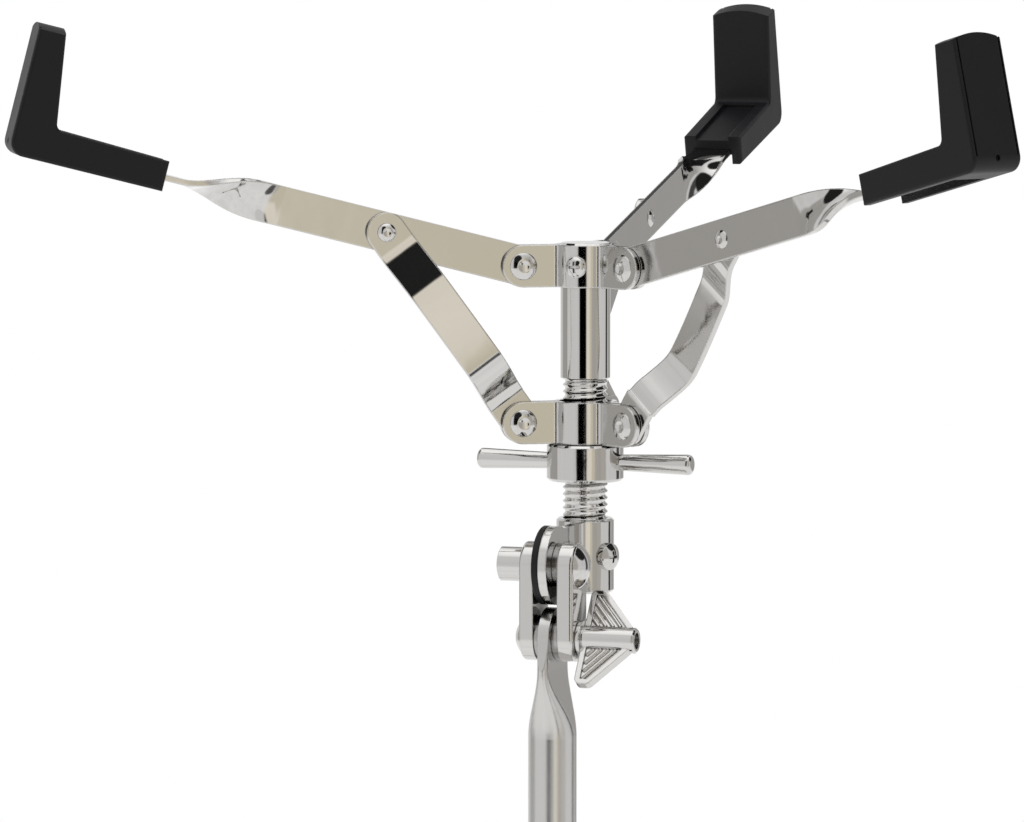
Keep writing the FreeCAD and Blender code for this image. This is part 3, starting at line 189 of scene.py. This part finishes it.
def noise(tree, scale, detail):
    """Noise that stays with the object."""
    place = tree.nodes.new("ShaderNodeTexCoord")
    node = tree.nodes.new("ShaderNodeTexNoise")
    socket(node, "Scale", scale)
    socket(node, "Detail", detail)
    tree.links.new(place.outputs["Object"], node.inputs["Vector"])
    return node.outputs["Fac"]


def spread(tree, value, low, high):
    """A value from 0 to 1 stretched from low to high."""
    node = tree.nodes.new("ShaderNodeMapRange")
    socket(node, "To Min", low)
    socket(node, "To Max", high)
    tree.links.new(value, node.inputs["Value"])
    return node.outputs["Result"]


def raise_surface(tree, bsdf, height, depth, edge):
    """Bump of the surface over edges that are slightly rounded."""
    bevel = tree.nodes.new("ShaderNodeBevel")
    bevel.samples = EDGE_SAMPLES
    socket(bevel, "Radius", edge)
    bump = tree.nodes.new("ShaderNodeBump")
    socket(bump, "Strength", 1.0)
    socket(bump, "Distance", depth)
    tree.links.new(height, bump.inputs["Height"])
    tree.links.new(bevel.outputs["Normal"], bump.inputs["Normal"])
    tree.links.new(bump.outputs["Normal"], bsdf.inputs["Normal"])


def painted_joint_shade(tree, colour):
    """Metal colour with painted shade, darkened in narrow joints by how closed in each spot is."""
    hidden = tree.nodes.new("ShaderNodeAmbientOcclusion")
    hidden.samples = JOINT_SHADE_SAMPLES
    socket(hidden, "Distance", JOINT_SHADE_REACH)
    ramp = tree.nodes.new("ShaderNodeValToRGB")
    ramp.color_ramp.elements[0].position = JOINT_SHADE_FULL
    ramp.color_ramp.elements[0].color = (*[c * JOINT_SHADE_DARK for c in colour], 1.0)
    ramp.color_ramp.elements[1].position = JOINT_SHADE_NONE
    ramp.color_ramp.elements[1].color = (*colour, 1.0)
    tree.links.new(hidden.outputs["AO"], ramp.inputs["Fac"])
    return ramp.outputs["Color"]


def metal(name, colour, rough, relief, edge):
    """Bright metal with smudges and a faint ripple."""
    material, tree, bsdf = new_material(name)
    # Painted shade: the base colour goes dark in narrow joints between parts
    tree.links.new(painted_joint_shade(tree, colour), bsdf.inputs["Base Color"])
    socket(bsdf, "Metallic", 1.0)
    smudge = noise(tree, SMUDGE_SCALE, SMUDGE_DETAIL)
    tree.links.new(spread(tree, smudge, *rough), bsdf.inputs["Roughness"])
    raise_surface(tree, bsdf, noise(tree, relief[0], RIPPLE_DETAIL), relief[1], edge)
    return material


def dull(name, colour, rough, relief, edge):
    """Rubber or plastic with uneven colour and a fine grain."""
    material, tree, bsdf = new_material(name)
    socket(bsdf, "Specular IOR Level", DULL_SPECULAR)
    patch = noise(tree, PATCH_SCALE, PATCH_DETAIL)
    ramp = tree.nodes.new("ShaderNodeValToRGB")
    ramp.color_ramp.elements[0].color = (*[c * PATCH_DARK for c in colour], 1.0)
    ramp.color_ramp.elements[1].color = (*[c * PATCH_LIGHT for c in colour], 1.0)
    tree.links.new(patch, ramp.inputs["Fac"])
    tree.links.new(ramp.outputs["Color"], bsdf.inputs["Base Color"])
    tree.links.new(spread(tree, patch, *rough), bsdf.inputs["Roughness"])
    raise_surface(tree, bsdf, noise(tree, relief[0], GRAIN_DETAIL), relief[1], edge)
    return material


finishes = {name: metal(name, **look) for name, look in METALS.items()}
finishes.update({name: dull(name, **look) for name, look in DULLS.items()})

for subpart in frame["record"]["subparts"]:
    node = nodes[subpart["node"]]
    node.data.materials.clear()
    node.data.materials.append(finishes[subpart["material_slot"]])
for name in ("upper_tube", "base_tube"):
    nodes[name].data.materials[0] = finishes["tube_chrome"]
for k in (1, 2, 3):
    for name in ("leg_%d" % k, "leg_strut_%d" % k):
        nodes[name].data.materials[0] = finishes["leg_chrome"]

# Places read from the frame
rod_low, rod_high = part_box("threaded_rod")
hub_low, hub_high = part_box("upper_hub_rivets")
rod_x = (rod_low.x + rod_high.x) / 2
rod_y = (rod_low.y + rod_high.y) / 2
hub_z = (hub_low.z + hub_high.z) / 2
rod_foot = Vector((rod_x, rod_y, 0.0))


def make_piece(name, shape, body, slot):
    """A mesh piece from (vertices, faces) that rides a body."""
    verts, faces = shape
    mesh = bpy.data.meshes.new(name)
    mesh.from_pydata(verts, [], faces)
    mesh.validate()
    piece = bpy.data.objects.new(name, mesh)
    bpy.context.scene.collection.objects.link(piece)
    mesh.materials.append(finishes[slot])
    mesh.shade_smooth()
    mesh.set_sharp_from_angle(angle=math.radians(SHARP_ANGLE))
    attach(piece, body)
    return piece


def lathe(profile, segments, origin, axis):
    """Vertices and faces of a profile of (radius, run) turned round an axis."""
    side = axis.orthogonal().normalized()
    front = axis.cross(side)
    verts = []
    faces = []
    for radius, run in profile:
        for i in range(segments):
            angle = 2 * math.pi * i / segments
            spoke = side * math.cos(angle) + front * math.sin(angle)
            verts.append(tuple(origin + axis * run + spoke * radius))
    for row in range(len(profile) - 1):
        for i in range(segments):
            j = (i + 1) % segments
            a = row * segments
            b = a + segments
            faces.append((a + i, a + j, b + j, b + i))
    faces.append(tuple(reversed(range(segments))))
    last = (len(profile) - 1) * segments
    faces.append(tuple(range(last, last + segments)))
    return verts, faces


def helix(z_low, z_high):
    """A rounded screw thread as one helical strip, its turns joined and its ends closed."""
    turns = math.ceil((z_high - z_low) / THREAD_PITCH)
    steps = turns * TURN_SEGMENTS
    width = len(THREAD_FLANK)
    verts = []
    faces = []
    for i in range(steps + 1):
        angle = 2 * math.pi * i / TURN_SEGMENTS
        for along, up in THREAD_FLANK:
            radius = THREAD_ROOT_R + (THREAD_CREST_R - THREAD_ROOT_R) * up
            z = z_low + THREAD_PITCH * (i / TURN_SEGMENTS + along)
            verts.append((rod_x + radius * math.cos(angle), rod_y + radius * math.sin(angle), z))
    for i in range(steps):
        for k in range(width - 1):
            a = i * width + k
            b = a + width
            faces.append((a, b, b + 1, a + 1))
        over = i + TURN_SEGMENTS
        if over + 1 <= steps:
            a = i * width + width - 1
            faces.append((a, a + width, (over + 1) * width, over * width))
    # Each end is a fan from the axis to the open edge of the last turn and across the strip
    first = [i * width for i in range(TURN_SEGMENTS, -1, -1)] + list(range(1, width))
    last = [i * width + width - 1 for i in range(steps - TURN_SEGMENTS, steps + 1)]
    last += [steps * width + k for k in range(width - 2, -1, -1)]
    for edge, z in ((first, z_low), (last, z_low + THREAD_PITCH * turns)):
        middle = len(verts)
        verts.append((rod_x, rod_y, z))
        faces += [(middle, a, b) for a, b in zip(edge, edge[1:] + edge[:1])]
    return verts, faces


def joined(parts):
    """Several shapes as one list of vertices and one of faces."""
    verts = []
    faces = []
    for part_verts, part_faces in parts:
        start = len(verts)
        verts += part_verts
        faces += [tuple(start + i for i in face) for face in part_faces]
    return verts, faces


sleeve_low = hub_z - SLEEVE_BELOW_HUB
sleeve_rim = ROD_CHAMFER / 2
hub_half = (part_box("upper_hub_plate_1")[1].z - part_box("upper_hub_plate_1")[0].z) / 2
sleeve = lathe(
    [
        (THREAD_ROOT_R, sleeve_low),
        (SLEEVE_R - sleeve_rim, sleeve_low),
        (SLEEVE_R, sleeve_low + sleeve_rim),
        (SLEEVE_R, hub_z - hub_half),
        (ROD_TOP_R, hub_z - hub_half),
        (ROD_TOP_R, rod_high.z - ROD_CHAMFER),
        (ROD_TOP_R - ROD_CHAMFER, rod_high.z),
    ],
    2 * TURN_SEGMENTS,
    rod_foot,
    UP,
)
thread = helix(rod_low.z, sleeve_low)
rod = make_piece("threaded_rod_dressed", joined([sleeve, thread]), "basket", "rod_chrome")
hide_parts("threaded_rod")


def head_height(radius, head_r, head_h):
    """Height of a dished rivet head, with its dome and dish blended softly."""
    dome_r = (head_r ** 2 + head_h ** 2) / (2 * head_h)
    depth = head_h * RIVET_DISH_DEPTH
    dish_r = ((head_r * RIVET_DISH) ** 2 + depth ** 2) / (2 * depth)
    dome = math.sqrt(dome_r ** 2 - radius ** 2) - dome_r + head_h
    dish = head_h - depth + dish_r - math.sqrt(max(dish_r ** 2 - radius ** 2, 0.0))
    return -RIVET_SOFT * math.log(math.exp(-dome / RIVET_SOFT) + math.exp(-dish / RIVET_SOFT))


def rivet(origin, axis, grip, head):
    """A rivet with a dished head on each side of its grip."""
    head_r, head_h = head
    spots = [head_r * (1 - i / (HEAD_STEPS + HEAD_LAST_STEP)) for i in range(HEAD_STEPS + 1)]
    rise = [(r, max(head_height(r, head_r, head_h), 0.0)) for r in spots]
    profile = [(r, grip[0] - h) for r, h in reversed(rise)]
    profile += [(RIVET_R, grip[0]), (RIVET_R, grip[1])]
    profile += [(r, grip[1] + h) for r, h in rise]
    return lathe(profile, TURN_SEGMENTS, origin, axis)


joints = {joint["name"]: joint for joint in frame["record"]["behaviour"]["joints"]}
lower_low, lower_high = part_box("lower_hub_rivets")
lower_z = (lower_low.z + lower_high.z) / 2
upper_set = []
lower_set = []
for k in (1, 2, 3):
    hinge = joints["arm_%d_hinge" % k]
    side = -Vector(hinge["axis"])
    spot = Vector(hinge["pos_m"])
    upper_set.append(rivet(spot, side, HUB_GRIP, HUB_HEAD))
    lower_set.append(rivet(Vector((spot.x, spot.y, lower_z)), side, HUB_GRIP, HUB_HEAD))
    brace_rivet = rivet(Vector(joints["brace_%d_hinge" % k]["pos_m"]), side, ARM_GRIP, ARM_HEAD)
    piece = make_piece("arm_brace_rivet_%d_dressed" % k, brace_rivet, "arm_%d" % k, "plated_fastener")
    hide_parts("arm_brace_rivet_%d" % k)
hub_sets = (("upper_hub_rivets", "basket", upper_set), ("lower_hub_rivets", "lower_hub", lower_set))
for name, body, parts in hub_sets:
    piece = make_piece(name + "_dressed", joined(parts), body, "plated_fastener")
    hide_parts(name)

# Camera
azimuth = math.radians(CAMERA_AZIMUTH)
elevation = math.radians(CAMERA_ELEVATION)
towards_camera = Vector((math.sin(azimuth), -math.cos(azimuth), 0.0))
screen_right = Vector((math.cos(azimuth), math.sin(azimuth), 0.0))
back = towards_camera * math.cos(elevation) + UP * math.sin(elevation)
aim = Vector((rod_x, rod_y, hub_z - AIM_BELOW_HUB)) - screen_right * AIM_LEFT_OF_ROD
lens = bpy.data.cameras.new("camera")
lens.lens = CAMERA_LENS
lens.sensor_width = SENSOR_WIDTH
lens.clip_end = CAMERA_CLIP
camera = bpy.data.objects.new("camera", lens)
camera.location = aim + back * CAMERA_DISTANCE
camera.rotation_mode = "QUATERNION"
camera.rotation_quaternion = (-back).to_track_quat("-Z", "Y")
bpy.context.scene.collection.objects.link(camera)
bpy.context.scene.camera = camera


def studio_ramp(ramp):
    """Pale surroundings with the darker and warmer bands set into them."""
    plain = (STUDIO_LEVEL, STUDIO_LEVEL, STUDIO_LEVEL)
    stops = []
    last = -HALF_TURN
    for start, end, colour in sorted(STUDIO_BANDS.values()):
        if start - last > 2 * STUDIO_SOFT:
            stops += [(last + STUDIO_SOFT, plain), (start - STUDIO_SOFT, plain)]
        stops += [(start, colour), (end, colour)]
        last = end
    stops.append((last + STUDIO_SOFT, plain))
    ramp.interpolation = "EASE"
    ramp.elements[0].position = 0.0
    ramp.elements[1].position = 1.0
    for stop in ramp.elements:
        stop.color = (*plain, 1.0)
    for degrees, colour in stops:
        stop = ramp.elements.new((degrees + HALF_TURN) / (2 * HALF_TURN))
        stop.color = (*colour, 1.0)


def dot(tree, vector, axis):
    node = tree.nodes.new("ShaderNodeVectorMath")
    node.operation = "DOT_PRODUCT"
    node.inputs[1].default_value = axis
    tree.links.new(vector, node.inputs[0])
    return node.outputs["Value"]


def math_node(tree, operation, first, second):
    node = tree.nodes.new("ShaderNodeMath")
    node.operation = operation
    tree.links.new(first, node.inputs[0])
    tree.links.new(second, node.inputs[1])
    return node.outputs["Value"]


def bearing(degrees, up):
    """Direction by degrees right of the camera and degrees above level."""
    turn_by = math.radians(degrees)
    lift = math.radians(up)
    flat = towards_camera * math.cos(turn_by) + screen_right * math.sin(turn_by)
    return flat * math.cos(lift) + UP * math.sin(lift)


def eased(tree, value, low, high):
    """A smooth step from 0 at low to 1 at high."""
    node = tree.nodes.new("ShaderNodeMapRange")
    node.interpolation_type = "SMOOTHSTEP"
    socket(node, "From Min", low)
    socket(node, "From Max", high)
    tree.links.new(value, node.inputs["Value"])
    return node.outputs["Result"]


def mix_colour(tree, factor, first, second):
    """Mix of two colours by a factor, or their product where there is none."""
    node = tree.nodes.new("ShaderNodeMix")
    node.data_type = "RGBA"
    if factor is None:
        node.blend_type = "MULTIPLY"
        node.inputs[0].default_value = 1.0
    else:
        tree.links.new(factor, node.inputs[0])
    plugs = [p for p in node.inputs if p.type == "RGBA"]
    for value, plug in zip((first, second), plugs):
        if isinstance(value, tuple):
            plug.default_value = value
        else:
            tree.links.new(value, plug)
    return next(p for p in node.outputs if p.type == "RGBA")


# Surroundings: white to the camera, the studio to the metal, an even light to the rest
world = bpy.data.worlds.new("studio")
bpy.context.scene.world = world
world.use_nodes = True
tree = world.node_tree
background = tree.nodes["Background"]
place = tree.nodes.new("ShaderNodeTexCoord").outputs["Generated"]
angle = math_node(tree, "ARCTAN2", dot(tree, place, screen_right), dot(tree, place, towards_camera))
turn = tree.nodes.new("ShaderNodeMapRange")
socket(turn, "From Min", -math.pi)
socket(turn, "From Max", math.pi)
tree.links.new(angle, turn.inputs["Value"])
strips = tree.nodes.new("ShaderNodeValToRGB")
studio_ramp(strips.color_ramp)
tree.links.new(turn.outputs["Result"], strips.inputs["Fac"])
rise = dot(tree, place, UP)
fade = eased(tree, rise, STRIP_FULL_HEIGHT, STRIP_FADE_HEIGHT)
under = eased(tree, rise, GROUND_FROM, GROUND_FULL)
over = eased(tree, rise, CEILING_FROM, CEILING_FULL)
white = (1.0, 1.0, 1.0, 1.0)
level = (STUDIO_LEVEL, STUDIO_LEVEL, STUDIO_LEVEL, 1.0)
bright = (CEILING_LEVEL, CEILING_LEVEL, CEILING_LEVEL, 1.0)
ground = (GROUND_LEVEL, GROUND_LEVEL, GROUND_LEVEL, 1.0)
soft = (DIFFUSE_LEVEL, DIFFUSE_LEVEL, DIFFUSE_LEVEL, 1.0)
walls = mix_colour(tree, fade, strips.outputs["Color"], level)
room = mix_colour(tree, under, mix_colour(tree, over, walls, bright), ground)
uneven = tree.nodes.new("ShaderNodeTexNoise")
socket(uneven, "Scale", UNEVEN_SCALE)
tree.links.new(place, uneven.inputs["Vector"])
studio = mix_colour(tree, None, room, spread(tree, uneven.outputs["Fac"], UNEVEN_LOW, UNEVEN_HIGH))
for degrees, up, inner, outer, shade in STUDIO_FLAGS.values():
    edges = [math.cos(math.radians(a)) for a in (outer, inner)]
    flag = eased(tree, dot(tree, place, bearing(degrees, up)), *edges)
    studio = mix_colour(tree, flag, studio, (shade, shade, shade, 1.0))
rays = tree.nodes.new("ShaderNodeLightPath").outputs
lit = mix_colour(tree, rays["Is Glossy Ray"], soft, studio)
seen = math_node(tree, "MAXIMUM", rays["Is Camera Ray"], rays["Is Transmission Ray"])
tree.links.new(mix_colour(tree, seen, lit, white), background.inputs["Color"])

# Pale floor that fades into the white surroundings, and lets the metal show the pale ground
floor_mesh = bpy.data.meshes.new("floor")
rim = [2 * math.pi * i / TURN_SEGMENTS for i in range(TURN_SEGMENTS)]
floor_points = [(FLOOR_RADIUS * math.cos(a), FLOOR_RADIUS * math.sin(a), 0.0) for a in rim]
floor_mesh.from_pydata(floor_points, [], [tuple(range(TURN_SEGMENTS))])
floor = bpy.data.objects.new("floor", floor_mesh)
bpy.context.scene.collection.objects.link(floor)
floor_material, tree, bsdf = new_material("floor")
socket(bsdf, "Base Color", FLOOR_COLOUR)
socket(bsdf, "Roughness", FLOOR_ROUGHNESS)
output = tree.nodes["Material Output"]
place = tree.nodes.new("ShaderNodeTexCoord")
length = tree.nodes.new("ShaderNodeVectorMath")
length.operation = "LENGTH"
tree.links.new(place.outputs["Object"], length.inputs[0])
edge = eased(tree, length.outputs["Value"], *[part * FLOOR_RADIUS for part in FLOOR_FADE])
clear = tree.nodes.new("ShaderNodeBsdfTransparent")
blend = tree.nodes.new("ShaderNodeMixShader")
rays = tree.nodes.new("ShaderNodeLightPath").outputs
tree.links.new(math_node(tree, "MAXIMUM", edge, rays["Is Glossy Ray"]), blend.inputs["Fac"])
tree.links.new(bsdf.outputs["BSDF"], blend.inputs[1])
tree.links.new(clear.outputs["BSDF"], blend.inputs[2])
tree.links.new(blend.outputs["Shader"], output.inputs["Surface"])
floor_mesh.materials.append(floor_material)


def soft_box(name, degrees, up, distance, size, power):
    """A soft lamp that lights the object and isn't mirrored in the metal."""
    light = bpy.data.lights.new(name, "AREA")
    light.shape = "RECTANGLE"
    light.size = size[0]
    light.size_y = size[1]
    light.energy = power
    out = bearing(degrees, up)
    box = bpy.data.objects.new(name, light)
    box.location = aim + out * distance
    box.rotation_mode = "QUATERNION"
    box.rotation_quaternion = (-out).to_track_quat("-Z", "Y")
    box.visible_glossy = False
    bpy.context.scene.collection.objects.link(box)


for name, setup in SOFT_BOXES.items():
    soft_box(name, *setup)

bpy.context.scene.view_settings.view_transform = "Standard"
